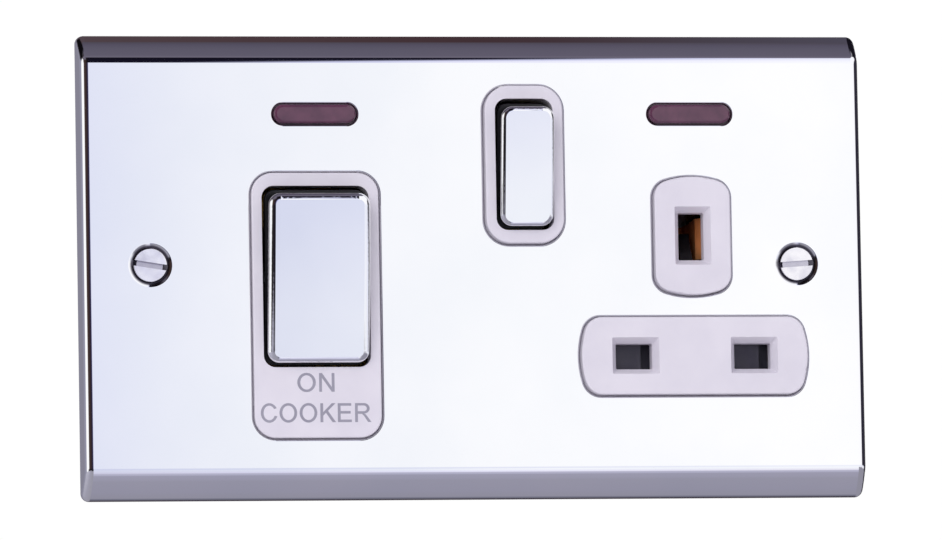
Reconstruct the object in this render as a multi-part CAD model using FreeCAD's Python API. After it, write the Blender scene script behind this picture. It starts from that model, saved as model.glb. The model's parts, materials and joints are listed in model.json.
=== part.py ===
import FreeCAD, Part
import math
import os

# Frame: X right, Z up, Y into the wall. The wall plane is Y = 0 and the plate faces -Y.
# The origin is midway between the two fixing screws, in the wall plane. Millimetres.

# Front plate
PLATE_W = 146.0
PLATE_H = 86.0
PLATE_D = 6.5
SHEET = 1.2
BEVEL_W = 4.9
SIDE_W = 0.3
RIM_H = 1.2
BEVEL_CROWN = 0.4
RIM_R = 2.6
CORNER_R = 1.5
CREASE_R = 2.2
INSERT_GAP = 0.25
CUT_EDGE_R = 0.3

# Fixing screws
FIX_SPACING = 120.6
FIX_THREAD_R = 1.75
FIX_NECK_R = 1.45
FIX_HOLE_R = 1.9
FIX_LENGTH = 19.0
DIMPLE_R = 4.0
DIMPLE_D = 0.35
SEAT_R = 3.25
HEAD_R = 3.1
HEAD_BAND = 0.45
HEAD_EDGE_R = 0.12
HEAD_SLOT_W = 1.05
HEAD_SLOT_D = 1.1
SLOT_TURN_LEFT = 9.0
SLOT_TURN_RIGHT = -4.0

# Fits
RUN_FIT = 0.05
SEAT_GAP = 0.1
LOOSE = 0.3

# Front mouldings
FLANGE_T = 2.0
ISLAND_PROUD = 1.7
COOKER_PROUD = 0.8
INSERT_EDGE_R = 0.3

# Cooker switch
COOKER_X = -29.7
COOKER_Z = -2.2
COOKER_BEZEL_W = 23.6
COOKER_BEZEL_H = 48.9
COOKER_BEZEL_DROP = 5.3
COOKER_BEZEL_R = 4.0
COOKER_HOLE_W = 19.9
COOKER_HOLE_H = 33.5
COOKER_EDGE_R = 1.2
COOKER_ARM = 11.0
POLE_OFFSET = 5.0

# Socket switch
SOCKET_SWITCH_X = 9.3
SWITCH_DROP = 14.6
SMALL_BEZEL_W = 14.55
SMALL_BEZEL_H = 29.2
SMALL_BEZEL_R = 4.5
SMALL_HOLE_W = 10.8
SMALL_HOLE_H = 24.4
SMALL_EDGE_R = 0.8
SMALL_ARM = 8.0

# Rockers
HOLE_CORNER_R = 2.2
PIVOT_Y = -5.0
ROCKER_H = 7.2
ROCK_ANGLE = 9.0
CAP_D = 6.0
CAP_WALL = 1.0
CAP_TAPER = 0.9
FACE_SIDE_GAP = 0.22
FACE_END_GAP = 1.2
FACE_RISE = 0.4
FACE_R = 2.3
CROWN_R = 300.0
CAP_SIDE_GAP = 0.6
CAP_END_GAP = 1.1
SKIRT_GAP = 0.65
SKIRT_D = 1.6
TRUNNION_R = 1.2
TRUNNION_REACH = 1.0

# Plungers and moving contacts
PLUNGER_R = 1.9
PLUNGER_WALL = 0.5
TIP_REACH = 11.0
TIP_GAP = 0.1
TUBE_WALL = 1.2
TUBE_END = 6.5
PLUNGER_TOP = 1.5
BORE_TOP = -4.6
SEESAW_T = 1.5
SEESAW_W = 6.0
SEESAW_ANGLE = 6.5
TIP_PAD_R = 2.0
TIP_PAD_T = 1.0
FIN_T = 1.6
FULCRUM_R = 0.5
SPRING_WIRE = 0.36
SPRING_TURNS = 7

# Socket outlet
SOCKET_X = 40.6
PIN_ROW_RISE = 15.9
PIN_PITCH = 22.23
EARTH_RISE = 22.23
EARTH_ISLAND_W = 14.2
EARTH_ISLAND_H = 21.95
POWER_ISLAND_W = 42.4
POWER_ISLAND_H = 14.35
ISLAND_BOW = 1.7
ISLAND_CORNER_R = 3.2
PIN_L = 6.35
PIN_T = 4.0
EARTH_PIN_L = 8.0
PIN_HOLE_PLAY = 0.45
PIN_SIDE_PLAY = 0.75
EARTH_HOLE_PLAY = 0.8
FUNNEL_W = 1.0
FUNNEL_D = 2.3
PIN_HOLE_R = 0.25
PIN_DEPTH = 17.7
EARTH_PIN_DEPTH = 22.7

# Neon indicators
COOKER_NEON_X = -29.45
NEON_DROP = 5.1
NEON_W = 15.3
NEON_H = 3.5
NEON_PROUD = 0.7
NEON_EDGE_R = 0.6
NEON_LIP = 1.0
NEON_LIP_T = 1.0
NEON_WALL = 0.4
LAMP_R = 1.3
LAMP_L = 10.6
LEAD_R = 0.35
RESISTOR_R = 1.1
RESISTOR_L = 5.0

# Shutter
SHUTTER_T = 2.2
SHUTTER_COVER = 0.65
SHUTTER_TRAVEL = 5.4
STEM_W = 7.0
RAMP_W = 2.2
RAMP_X = -0.3
RAMP_D = 4.2
RAMP_FRONT_DROP = 0.2
STEP_X = 1.75
STEP_W = 2.3
STEP_D = 1.9
GUIDE_W = 1.4
SHUTTER_SPRING_R = 1.3
SHUTTER_SPRING_L = 8.6
SHUTTER_SPRING_WIRE = 0.4
SHUTTER_SPRING_TURNS = 6
SPRING_SEAT_T = 1.2

# Rear housing
HOUSING_X0 = -50.0
HOUSING_X1 = 63.5
HOUSING_H = 66.0
HOUSING_BACK = 20.5
HOUSING_WALL = 1.8
HOUSING_FLOOR = 2.0
HOUSING_R = 4.0
LUG_NOTCH_R = 7.5
SPLIT_X = -8.0
SPLIT_GAP = 0.2
POST_R = 3.4
POST_INSET = 4.6

# Pillars and housing screws
PILLAR_R = 2.4
PILLAR_L = 5.0
M3_R = 1.5
M3_HEAD_R = 2.7
M3_HEAD_H = 1.8
M3_SINK = 0.5
CLEAR_HOLE = 0.2
M3_TURN = 45.0

# Bars and terminals
BAR_T = 1.2
BAR_W = 6.0
BLOCK_W = 10.0
BLOCK_H = 9.7
BLOCK_L = 10.4
BLOCK_OFFSET = 6.5
BORE_R = 3.0
BORE_TO_BAR = 5.0
EARTH_BORE_R = 2.4
EARTH_BORE_PITCH = 6.8
EARTH_BLOCK_W = 13.4
EARTH_BLOCK_X = 19.3
CABLE_PLAY = 0.6
CLAMP_R = 1.8
CLAMP_HEAD_R = 2.3
CLAMP_HEAD_H = 1.6
CLAMP_SLOT_W = 0.8
CLAMP_SLOT_D = 0.8
CLAMP_PITCH = 5.6
LINK_GAP = 1.8
LINK_W = 4.0
CLIP_T = 0.8
CLIP_PLAY = 0.1
CLIP_MOUTH = 0.7
CLIP_PINCH = 0.3
CLIP_LEAD = 2.6
CLIP_START = 4.6
EARTH_CLIP_START = 1.0
EARTH_CLIP_LEAD = 1.4
CLIP_BASE = 1.4
LIVE_RUN_W = 3.6
LIVE_RUN_OFFSET = 5.8
STRAP_W = 8.0
STRAP_T = 0.8

# Derived levels along Y
FACE_Y = -PLATE_D
BACK_Y = FACE_Y + SHEET
FLANGE_Y = BACK_Y + FLANGE_T
ISLAND_Y = FACE_Y - ISLAND_PROUD
COOKER_Y = FACE_Y - COOKER_PROUD
FLOOR_Y = HOUSING_BACK - HOUSING_FLOOR
BAR_Y = FLOOR_Y - BAR_T
BLOCK_Y = BAR_Y - BLOCK_H
BORE_Y = BAR_Y - BORE_TO_BAR
LINK_Y = BLOCK_Y - LINK_GAP - BAR_T
PILLAR_Y = BACK_Y + PILLAR_L
SEESAW_Y = PIVOT_Y + TIP_REACH + TIP_GAP + SEESAW_T
CLIP_Y = FLANGE_Y + CLIP_START
EARTH_CLIP_Y = FLANGE_Y + EARTH_CLIP_START
CLIP_END = ISLAND_Y + PIN_DEPTH + CLIP_BASE
EARTH_CLIP_END = ISLAND_Y + EARTH_PIN_DEPTH + CLIP_BASE

# Derived places in X and Z
FIX_X = FIX_SPACING / 2
HOUSING_Z = HOUSING_H / 2
INNER_Z = HOUSING_Z - HOUSING_WALL
NEON_Z = HOUSING_Z - NEON_DROP
SOCKET_SWITCH_Z = HOUSING_Z - SWITCH_DROP
PIN_ROW_Z = PIN_ROW_RISE - HOUSING_Z
EARTH_Z = PIN_ROW_Z + EARTH_RISE
NEUTRAL_PIN_X = SOCKET_X - PIN_PITCH / 2
LIVE_PIN_X = SOCKET_X + PIN_PITCH / 2
PIN_HOLE_L = PIN_L + PIN_HOLE_PLAY
PIN_HOLE_T = PIN_T + PIN_SIDE_PLAY
EARTH_HOLE_L = EARTH_PIN_L + EARTH_HOLE_PLAY
NEUTRAL_X = COOKER_X - POLE_OFFSET
LIVE_X = COOKER_X + POLE_OFFSET
NEUTRAL_BLOCK_X = COOKER_X - BLOCK_OFFSET
LIVE_BLOCK_X = COOKER_X + BLOCK_OFFSET
BLOCK_EDGE_Z = INNER_Z - SEAT_GAP
BLOCK_MID_Z = BLOCK_EDGE_Z - BLOCK_L / 2
EARTH_BORES = [EARTH_BLOCK_X - EARTH_BORE_PITCH / 2, EARTH_BLOCK_X + EARTH_BORE_PITCH / 2]
LEFT_POST_X = HOUSING_X0 + POST_INSET
RIGHT_POST_X = HOUSING_X1 - POST_INSET
POST_Z = HOUSING_Z - POST_INSET
LEFT_POSTS = [(LEFT_POST_X, POST_Z), (LEFT_POST_X, -POST_Z)]
RIGHT_POSTS = [(RIGHT_POST_X, POST_Z), (RIGHT_POST_X, -POST_Z)]
POSTS = LEFT_POSTS + RIGHT_POSTS
STRAP_Z = -BLOCK_MID_Z
PLUNGER_SPRING_R = PLUNGER_R - PLUNGER_WALL - RUN_FIT

AXIS_X = FreeCAD.Vector(1, 0, 0)
AXIS_Y = FreeCAD.Vector(0, 1, 0)
AXIS_Z = FreeCAD.Vector(0, 0, 1)
QUARTER_TURN = 90.0


def point(x, y, z):
    return FreeCAD.Vector(x, y, z)


def box(x0, x1, y0, y1, z0, z1):
    return Part.makeBox(x1 - x0, y1 - y0, z1 - z0, point(x0, y0, z0))


def along_x(r, x0, x1, y, z):
    return Part.makeCylinder(r, x1 - x0, point(x0, y, z), AXIS_X)


def along_y(r, x, z, y0, y1):
    return Part.makeCylinder(r, y1 - y0, point(x, y0, z), AXIS_Y)


def along_z(r, x, y, z0, z1):
    return Part.makeCylinder(r, z1 - z0, point(x, y, z0), AXIS_Z)


def cone_y(r0, r1, x, z, y0, y1):
    return Part.makeCone(r0, r1, y1 - y0, point(x, y0, z), AXIS_Y)


def rounded(w, h, r, x, y, z):
    """Closed outline of a rounded rectangle in a plane of constant Y."""
    a = w / 2
    b = h / 2
    d = r * (1 - math.sqrt(0.5))
    p = [
        (-a + r, -b), (a - r, -b), (a - d, -b + d), (a, -b + r), (a, b - r), (a - d, b - d),
        (a - r, b), (-a + r, b), (-a + d, b - d), (-a, b - r), (-a, -b + r), (-a + d, -b + d),
    ]
    q = [point(x + i, y, z + j) for i, j in p]
    edges = []
    for k in range(0, 12, 3):
        edges.append(Part.LineSegment(q[k], q[k + 1]).toShape())
        edges.append(Part.Arc(q[k + 1], q[k + 2], q[(k + 3) % 12]).toShape())
    return Part.Wire(edges)


def prism(wire, y1):
    face = Part.Face(wire)
    return face.extrude(point(0, y1 - face.CenterOfMass.y, 0))


def frustum(wire0, wire1):
    return Part.makeLoft([wire0, wire1], True, True)


def at_level(shape, y):
    """Edges that lie in one plane of constant Y."""
    flat = [e for e in shape.Edges if max(abs(v.Y - y) for v in e.Vertexes) < 1e-6]
    return [e for e in flat if abs(e.CenterOfMass.y - y) < 1e-6]


def soften(shape, y, r):
    return shape.makeFillet(r, at_level(shape, y))


def turned(shape, x, y, z, axis, degrees):
    out = shape.copy()
    out.rotate(point(x, y, z), axis, degrees)
    return out


def joined(shapes):
    return shapes[0].multiFuse(shapes[1:]).removeSplitter()


def bowed(w, h, r, x, z, y0, y1, upright):
    """Prism with two straight sides and two bowed ends; the ends face Z when upright, else X."""
    a = w / 2
    b = h / 2
    s = ISLAND_BOW
    if upright:
        c = [(-a, -b + s), (0, -b), (a, -b + s), (a, b - s), (0, b), (-a, b - s)]
    else:
        c = [(-a + s, b), (-a, 0), (-a + s, -b), (a - s, -b), (a, 0), (a - s, b)]
    q = [point(x + i, y0, z + j) for i, j in c]
    wire = Part.Wire([
        Part.Arc(q[0], q[1], q[2]).toShape(),
        Part.LineSegment(q[2], q[3]).toShape(),
        Part.Arc(q[3], q[4], q[5]).toShape(),
        Part.LineSegment(q[5], q[0]).toShape(),
    ])
    body = prism(wire, y1)
    corners = [e for e in body.Edges if abs(e.Vertexes[0].Y - e.Vertexes[-1].Y) > (y1 - y0) / 2]
    return body.makeFillet(r, corners)


def coil(radius, wire_r, height, turns):
    """Open coil along Z from zero to the height, wire included."""
    rise = height - 2 * wire_r
    path = Part.makeHelix(rise / turns, rise, radius)
    start = path.Edges[0]
    begin = start.valueAt(start.FirstParameter)
    heading = start.tangentAt(start.FirstParameter)
    profile = Part.Wire(Part.makeCircle(wire_r, begin, heading))
    body = Part.Wire(path.Edges).makePipeShell([profile], True, True)
    body.translate(point(0, 0, wire_r))
    return body


def slotted(shape, x, z, y0, y1, w, reach, degrees):
    """Screwdriver slot across a screw head, turned about the screw's axis."""
    cut = box(x - reach, x + reach, y0, y1, z - w / 2, z + w / 2)
    return shape.cut(turned(cut, x, 0, z, AXIS_Y, degrees))


# Front plate
def pressing(half_w, half_h, rim_h, face_h, face_y):
    """Bar along X with bowed bevels above and below."""
    back = point(-half_w, 0, half_h)
    rim = point(-half_w, -rim_h, half_h)
    face = point(-half_w, face_y, face_h)
    outward = (face - rim).cross(AXIS_X).normalize()
    bow = (rim + face) * 0.5 + outward * BEVEL_CROWN
    upper = [back, rim, bow, face]
    lower = [point(p.x, p.y, -p.z) for p in upper]
    section = Part.Wire([
        Part.LineSegment(back, rim).toShape(),
        Part.Arc(rim, bow, face).toShape(),
        Part.LineSegment(face, lower[3]).toShape(),
        Part.Arc(lower[3], lower[2], lower[1]).toShape(),
        Part.LineSegment(lower[1], lower[0]).toShape(),
        Part.LineSegment(lower[0], back).toShape(),
    ])
    return Part.Face(section).extrude(point(2 * half_w, 0, 0))


def lengthwise(shape, y):
    """Edges in one plane of constant Y that run along X."""
    return [e for e in at_level(shape, y) if e.BoundBox.XLength > e.BoundBox.ZLength]


def between_sides(bar, half_w, half_h, face_y, draft):
    """Cuts a bar to two sides that lean in by the draft."""
    front_w = half_w - draft
    plan = Part.makePolygon([
        point(-half_w, 0, -half_h), point(-front_w, face_y, -half_h), point(front_w, face_y, -half_h),
        point(half_w, 0, -half_h), point(-half_w, 0, -half_h)])
    return bar.common(Part.Face(plan).extrude(point(0, 0, 2 * half_h)))


def side_edges(block):
    """Edges around both sides, from the wall over the bevels and the face and back to the wall."""
    edges = []
    for side in [f for f in block.Faces if abs(f.normalAt(0, 0).x) > abs(f.normalAt(0, 0).y)]:
        wall = at_level(side, 0)
        edges += [e for e in side.Edges if not any(e.isSame(w) for w in wall)]
    return edges


def hole_edges(shape, y):
    """Edges around the openings of the flat face at that Y."""
    face = next(f for f in shape.Faces if len(at_level(f, y)) == len(f.Edges))
    return [e for w in face.Wires if not w.isSame(face.OuterWire) for e in w.Edges]


def front_plate():
    slope = math.atan2(PLATE_D - RIM_H, BEVEL_W)
    side = math.atan2(PLATE_D, SIDE_W)
    half_w = PLATE_W / 2
    half_h = PLATE_H / 2
    bar = pressing(half_w, half_h, RIM_H, half_h - BEVEL_W, FACE_Y)
    bar = bar.makeFillet(RIM_R, lengthwise(bar, -RIM_H))
    bar = bar.makeFillet(CREASE_R, lengthwise(bar, FACE_Y))
    outer = between_sides(bar, half_w, half_h, FACE_Y, SIDE_W)
    outer = outer.makeFillet(CORNER_R, side_edges(outer))
    in_w = half_w - SHEET / math.sin(side)
    in_h = half_h - SHEET
    in_rim = RIM_H - SHEET * math.tan((math.pi / 2 - slope) / 2)
    in_face_h = half_h - BEVEL_W - SHEET * math.tan(slope / 2)
    in_draft = SIDE_W * (PLATE_D - SHEET) / PLATE_D
    inner = between_sides(pressing(in_w, in_h, in_rim, in_face_h, BACK_Y), in_w, in_h, BACK_Y, in_draft)
    shell = outer.cut(inner)
    seat = FACE_Y + DIMPLE_D
    sink = seat + SEAT_R - FIX_HOLE_R
    skin = SHEET * math.sqrt(2)
    cuts = []
    for x in (-FIX_X, FIX_X):
        cup = cone_y(SEAT_R + seat - BACK_Y + skin, FIX_HOLE_R + skin, x, 0, BACK_Y, sink)
        shell = shell.fuse(cup)
        cuts.append(cone_y(DIMPLE_R, SEAT_R, x, 0, FACE_Y, seat))
        cuts.append(cone_y(SEAT_R, FIX_HOLE_R, x, 0, seat, sink))
        cuts.append(along_y(FIX_HOLE_R, x, 0, FACE_Y, FLANGE_Y))
    g = 2 * INSERT_GAP
    cuts.append(prism(rounded(
        COOKER_BEZEL_W + g, COOKER_BEZEL_H + g, COOKER_BEZEL_R + INSERT_GAP,
        COOKER_X, FACE_Y - SHEET, COOKER_Z - COOKER_BEZEL_DROP), FLANGE_Y))
    cuts.append(prism(rounded(
        SMALL_BEZEL_W + g, SMALL_BEZEL_H + g, SMALL_BEZEL_R + INSERT_GAP,
        SOCKET_SWITCH_X, FACE_Y - SHEET, SOCKET_SWITCH_Z), FLANGE_Y))
    cuts.append(bowed(
        EARTH_ISLAND_W + g, EARTH_ISLAND_H + g, ISLAND_CORNER_R + INSERT_GAP,
        SOCKET_X, EARTH_Z, FACE_Y - SHEET, FLANGE_Y, True))
    cuts.append(bowed(
        POWER_ISLAND_W + g, POWER_ISLAND_H + g, ISLAND_CORNER_R + INSERT_GAP,
        SOCKET_X, PIN_ROW_Z, FACE_Y - SHEET, FLANGE_Y, False))
    for x in (COOKER_NEON_X, SOCKET_X):
        w = NEON_W + g
        h = NEON_H + g
        cuts.append(prism(rounded(w, h, h / 2 - RUN_FIT, x, FACE_Y - SHEET, NEON_Z), FLANGE_Y))
    plate = shell.cut(Part.makeCompound(cuts)).removeSplitter()
    return plate.makeFillet(CUT_EDGE_R, hole_edges(plate, FACE_Y))


def fixing_screw(x, degrees):
    seat = FACE_Y + DIMPLE_D + SEAT_R - HEAD_R - RUN_FIT
    neck = seat + HEAD_R - FIX_NECK_R
    top = seat - HEAD_BAND
    body = joined([
        along_y(HEAD_R, x, 0, top, seat),
        cone_y(HEAD_R, FIX_NECK_R, x, 0, seat, neck),
        along_y(FIX_NECK_R, x, 0, neck, 0),
        along_y(FIX_THREAD_R, x, 0, 0, FIX_LENGTH),
    ])
    body = soften(body, top, HEAD_EDGE_R)
    return slotted(body, x, 0, top, top + HEAD_SLOT_D, HEAD_SLOT_W, DIMPLE_R, degrees)


# Rockers
def rocker_body(x, z, edge_r, hole_w, hole_h, plunger_xs):
    """Cap and carrier of one rocker, level; plungers sit at the listed X offsets."""
    face_y = PIVOT_Y - ROCKER_H
    base_y = face_y + CAP_D
    base_w = hole_w - 2 * CAP_SIDE_GAP
    base_h = hole_h - 2 * CAP_END_GAP
    face_w = hole_w - 2 * FACE_SIDE_GAP
    face_h = hole_h - 2 * FACE_END_GAP
    root_w = face_w - 2 * CAP_TAPER
    base_r = HOLE_CORNER_R - LOOSE

    def shell(inset, top):
        return frustum(
            rounded(face_w - 2 * inset, face_h - 2 * inset, FACE_R - inset / 2, x, top, z + FACE_RISE),
            rounded(root_w - 2 * inset, base_h - 2 * inset, base_r - inset / 2, x, base_y, z))

    crown = along_x(CROWN_R, x - face_w, x + face_w, face_y + CROWN_R, z + FACE_RISE)
    cap = shell(0, face_y - CAP_WALL).common(crown)
    face = max(cap.Faces, key=lambda f: -f.CenterOfMass.y)
    cap = cap.makeFillet(edge_r, face.Edges).cut(shell(CAP_WALL, face_y + CAP_WALL))
    core = shell(CAP_WALL + RUN_FIT, face_y + CAP_WALL + RUN_FIT)
    skirt_r = hole_h / 2 - SKIRT_GAP
    back_y = PIVOT_Y + SKIRT_D
    skirt = prism(rounded(base_w, 2 * skirt_r, base_r, x, base_y, z), back_y)
    skirt = skirt.common(along_x(skirt_r, x - base_w, x + base_w, PIVOT_Y, z))
    half = hole_w / 2 + TRUNNION_REACH
    solids = [core, skirt, along_x(TRUNNION_R, x - half, x + half, PIVOT_Y, z)]
    bores = []
    bore_r = PLUNGER_R + RUN_FIT
    for dx in plunger_xs:
        solids.append(along_y(bore_r + TUBE_WALL, x + dx, z, PIVOT_Y, PIVOT_Y + TUBE_END))
        bores.append(along_y(bore_r, x + dx, z, PIVOT_Y + BORE_TOP, PIVOT_Y + TUBE_END))
    carrier = joined(solids).cut(Part.makeCompound(bores))
    return cap, carrier


def plunger(x, z):
    tip = PIVOT_Y + TIP_REACH - PLUNGER_R
    top = PIVOT_Y + PLUNGER_TOP
    body = along_y(PLUNGER_R, x, z, top, tip).fuse(Part.makeSphere(PLUNGER_R, point(x, tip, z)))
    return body.removeSplitter().cut(along_y(PLUNGER_R - PLUNGER_WALL, x, z, top, tip))


def plunger_spring(x, z):
    wire_r = SPRING_WIRE / 2
    start = PIVOT_Y + BORE_TOP
    length = TIP_REACH - PLUNGER_R - BORE_TOP
    body = coil(PLUNGER_SPRING_R - wire_r, wire_r, length, SPRING_TURNS)
    body = turned(body, 0, 0, 0, AXIS_X, -QUARTER_TURN)
    body.translate(point(x, start, z))
    return body


def at_rest(shape, z):
    """Rocker parts are built level, then tipped to the ON position: top out, bottom in."""
    return turned(shape, 0, PIVOT_Y, z, AXIS_X, ROCK_ANGLE)


def moving_contact(x, z, arm):
    half = arm + TIP_PAD_R
    bar = box(x - SEESAW_W / 2, x + SEESAW_W / 2, SEESAW_Y - SEESAW_T, SEESAW_Y, z - half, z + half)
    pad = along_y(TIP_PAD_R, x, z + arm, SEESAW_Y, SEESAW_Y + TIP_PAD_T)
    groove = along_x(FULCRUM_R, x - SEESAW_W, x + SEESAW_W, SEESAW_Y, z)
    level = joined([bar, pad]).cut(groove)
    return turned(level, 0, SEESAW_Y, z, AXIS_X, -SEESAW_ANGLE)


def support_fin(x, z):
    """Rounded ridge under a moving contact, standing on its bar."""
    half = SEESAW_W / 2
    r = FULCRUM_R - RUN_FIT
    foot = SEESAW_Y + FIN_T
    ridge = Part.makePolygon([
        point(x - half, SEESAW_Y, z - r),
        point(x - half, SEESAW_Y, z + r),
        point(x - half, foot, z + FIN_T / 2),
        point(x - half, foot, z - FIN_T / 2),
        point(x - half, SEESAW_Y, z - r),
    ])
    neck = Part.Face(ridge).extrude(point(SEESAW_W, 0, 0))
    stem = box(x - half, x + half, foot, BAR_Y, z - FIN_T / 2, z + FIN_T / 2)
    return [along_x(r, x - half, x + half, SEESAW_Y, z), neck, stem]


def fixed_post(x, z, arm):
    """Fixed contact that the moving contact's pad meets in the ON position."""
    a = math.radians(SEESAW_ANGLE)
    top = SEESAW_Y + (arm + TIP_PAD_R) * math.sin(a) + TIP_PAD_T * math.cos(a) + SEAT_GAP
    return along_y(TIP_PAD_R, x, z + arm, top, BAR_Y)


# Front mouldings
def flange(x0, x1, posts):
    whole = prism(rounded(
        HOUSING_X1 - HOUSING_X0, HOUSING_H, HOUSING_R,
        (HOUSING_X0 + HOUSING_X1) / 2, BACK_Y, 0), FLANGE_Y)
    part = whole.common(box(x0, x1, BACK_Y, FLANGE_Y, -HOUSING_Z, HOUSING_Z))
    notch = along_y(LUG_NOTCH_R, FIX_X, 0, BACK_Y, FLANGE_Y)
    holes = [along_y(PILLAR_R + CLEAR_HOLE, x, z, BACK_Y, FLANGE_Y) for x, z in posts]
    return part.cut(Part.makeCompound([notch] + holes))


def neon_window(x):
    w = NEON_W + 2 * NEON_LIP
    h = NEON_H + 2 * NEON_LIP
    return box(x - w / 2, x + w / 2, BACK_Y, FLANGE_Y, NEON_Z - h / 2, NEON_Z + h / 2)


def rocker_opening(x, z, w, h, y0):
    hole = prism(rounded(w, h, HOLE_CORNER_R, x, y0, z), FLANGE_Y)
    half = w / 2 + TRUNNION_REACH + SEAT_GAP
    return [hole, along_x(TRUNNION_R + RUN_FIT, x - half, x + half, PIVOT_Y, z)]


def cooker_front():
    base = flange(HOUSING_X0, SPLIT_X - SPLIT_GAP / 2, LEFT_POSTS)
    bezel = prism(rounded(
        COOKER_BEZEL_W, COOKER_BEZEL_H, COOKER_BEZEL_R,
        COOKER_X, COOKER_Y, COOKER_Z - COOKER_BEZEL_DROP), FLANGE_Y)
    body = joined([base, soften(bezel, COOKER_Y, INSERT_EDGE_R)])
    cuts = rocker_opening(COOKER_X, COOKER_Z, COOKER_HOLE_W, COOKER_HOLE_H, COOKER_Y)
    return body.cut(Part.makeCompound(cuts)).cut(neon_window(COOKER_NEON_X))


def pin_hole(x, z, w, h):
    straight = prism(rounded(w, h, PIN_HOLE_R, x, ISLAND_Y, z), FLANGE_Y)
    wide = rounded(w + 2 * FUNNEL_W, h + 2 * FUNNEL_W, PIN_HOLE_R, x, ISLAND_Y, z)
    funnel = frustum(wide, rounded(w, h, PIN_HOLE_R, x, ISLAND_Y + FUNNEL_D, z))
    return straight.fuse(funnel)


def socket_front():
    base = flange(SPLIT_X + SPLIT_GAP / 2, HOUSING_X1, RIGHT_POSTS + [(EARTH_BLOCK_X, STRAP_Z)])
    bezel = prism(rounded(
        SMALL_BEZEL_W, SMALL_BEZEL_H, SMALL_BEZEL_R, SOCKET_SWITCH_X, ISLAND_Y, SOCKET_SWITCH_Z), FLANGE_Y)
    earth = bowed(
        EARTH_ISLAND_W, EARTH_ISLAND_H, ISLAND_CORNER_R, SOCKET_X, EARTH_Z, ISLAND_Y, FLANGE_Y, True)
    power = bowed(
        POWER_ISLAND_W, POWER_ISLAND_H, ISLAND_CORNER_R, SOCKET_X, PIN_ROW_Z, ISLAND_Y, FLANGE_Y, False)
    raised = [soften(s, ISLAND_Y, INSERT_EDGE_R) for s in (bezel, earth, power)]
    back = FLANGE_Y + LOOSE + SHUTTER_T
    solids = [base] + raised
    inner = STEM_W / 2 + LOOSE
    low = PIN_ROW_Z + PIN_HOLE_T / 2 + SHUTTER_COVER + LOOSE
    high = EARTH_Z - EARTH_HOLE_L / 2 - SHUTTER_TRAVEL
    for x0 in (SOCKET_X - inner - GUIDE_W, SOCKET_X + inner):
        solids.append(box(x0, x0 + GUIDE_W, FLANGE_Y, back, low, high))
    seat = shutter_foot() - SHUTTER_SPRING_L
    half = STEM_W / 2
    solids.append(box(SOCKET_X - half, SOCKET_X + half, FLANGE_Y, back, seat - SPRING_SEAT_T, seat))
    cuts = rocker_opening(SOCKET_SWITCH_X, SOCKET_SWITCH_Z, SMALL_HOLE_W, SMALL_HOLE_H, ISLAND_Y)
    body = joined(solids).cut(Part.makeCompound(cuts)).cut(neon_window(SOCKET_X))
    body = body.cut(pin_hole(NEUTRAL_PIN_X, PIN_ROW_Z, PIN_HOLE_L, PIN_HOLE_T))
    body = body.cut(pin_hole(LIVE_PIN_X, PIN_ROW_Z, PIN_HOLE_L, PIN_HOLE_T))
    return body.cut(pin_hole(SOCKET_X, EARTH_Z, PIN_HOLE_T, EARTH_HOLE_L))


# Shutter
def shutter_foot():
    return PIN_ROW_Z - PIN_HOLE_T / 2 - SHUTTER_COVER


def shutter():
    front = FLANGE_Y + LOOSE
    back = front + SHUTTER_T
    half = PIN_PITCH / 2 + PIN_HOLE_L / 2 + SHUTTER_COVER / 2
    head = PIN_ROW_Z + PIN_HOLE_T / 2 + SHUTTER_COVER
    blade = box(SOCKET_X - half, SOCKET_X + half, front, back, shutter_foot(), head)
    neck = EARTH_Z - EARTH_HOLE_L / 2 - SHUTTER_COVER
    stem = box(SOCKET_X - STEM_W / 2, SOCKET_X + STEM_W / 2, front, back, head, neck)
    low = EARTH_Z - EARTH_PIN_L / 2 - RAMP_FRONT_DROP
    top = low + SHUTTER_TRAVEL
    edge = SOCKET_X + RAMP_X - RAMP_W / 2
    wedge = Part.makePolygon([
        point(edge, front, neck - SHUTTER_T),
        point(edge, front, low),
        point(edge, front + RAMP_D, top),
        point(edge, front + RAMP_D, neck - SHUTTER_T),
        point(edge, front, neck - SHUTTER_T),
    ])
    ramp = Part.Face(wedge).extrude(point(RAMP_W, 0, 0))
    steps = []
    for x in (NEUTRAL_PIN_X + STEP_X, LIVE_PIN_X + STEP_X):
        steps.append(box(x, x + STEP_W, front, front + STEP_D, shutter_foot(), head))
    return joined([blade, stem, ramp]).cut(Part.makeCompound(steps))


def shutter_spring():
    wire_r = SHUTTER_SPRING_WIRE / 2
    body = coil(SHUTTER_SPRING_R - wire_r, wire_r, SHUTTER_SPRING_L, SHUTTER_SPRING_TURNS)
    body.translate(point(SOCKET_X, FLANGE_Y + LOOSE + SHUTTER_T / 2, shutter_foot() - SHUTTER_SPRING_L))
    return body


# Neon indicators
def neon_lens(x):
    front = FACE_Y - NEON_PROUD
    nose = prism(rounded(NEON_W, NEON_H, NEON_H / 2 - RUN_FIT, x, front, NEON_Z), FLANGE_Y)
    nose = soften(nose, front, NEON_EDGE_R)
    w = NEON_W + 2 * NEON_LIP - 2 * RUN_FIT
    h = NEON_H + 2 * NEON_LIP - 2 * RUN_FIT
    body = box(x - w / 2, x + w / 2, BACK_Y, FLANGE_Y, NEON_Z - h / 2, NEON_Z + h / 2)
    lip = box(
        x - w / 2 - NEON_LIP_T, x + w / 2 + NEON_LIP_T, FLANGE_Y, FLANGE_Y + NEON_LIP_T,
        NEON_Z - h / 2, NEON_Z + h / 2)
    a = NEON_W / 2 - NEON_WALL
    b = NEON_H / 2 - NEON_WALL
    hollow = box(x - a, x + a, FACE_Y + NEON_WALL, FLANGE_Y + NEON_LIP_T, NEON_Z - b, NEON_Z + b)
    return joined([nose, body, lip]).cut(hollow)


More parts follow.
